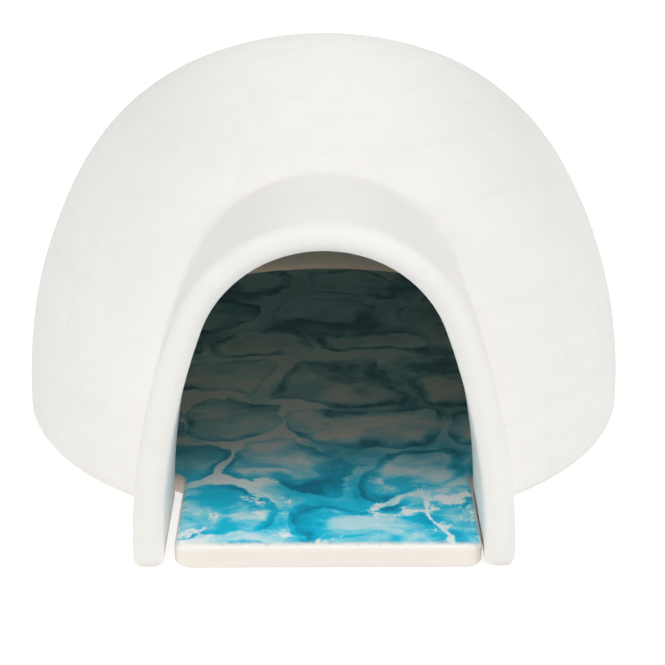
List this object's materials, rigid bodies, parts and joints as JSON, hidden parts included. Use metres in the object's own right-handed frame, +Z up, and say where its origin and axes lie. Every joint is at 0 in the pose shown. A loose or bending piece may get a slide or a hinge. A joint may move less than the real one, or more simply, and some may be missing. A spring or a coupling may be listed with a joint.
{
  "type": "ceramic small-pet igloo",
  "caption": "Glazed ceramic igloo hide for a small pet: a white dome with an arched porch stands over a loose keyhole-shaped floor plate painted with blue ice blocks.",
  "frame": {"origin": "on the dome's axis at table level, which is on the underside of the floor plate", "axes": "+Z up, the porch opens towards -Y, +X to the right as seen from in front of the porch"},
  "size_m": [0.17, 0.1875, 0.101],
  "materials": {
    "white_glaze": "satin white glaze over cream earthenware",
    "painted_floor": "hand-painted blue ice blocks under a clear glaze, bare cream edges"
  },
  "bodies": {
    "plate": {"floor_plate": "painted_floor"},
    "dome": {"dome_shell": "white_glaze"}
  },
  "joints": [
    {"name": "dome_lift", "type": "slide", "parent": "plate", "child": "dome", "axis": [0, 0, 1], "range_m": [0, 0.12]}
  ]
}
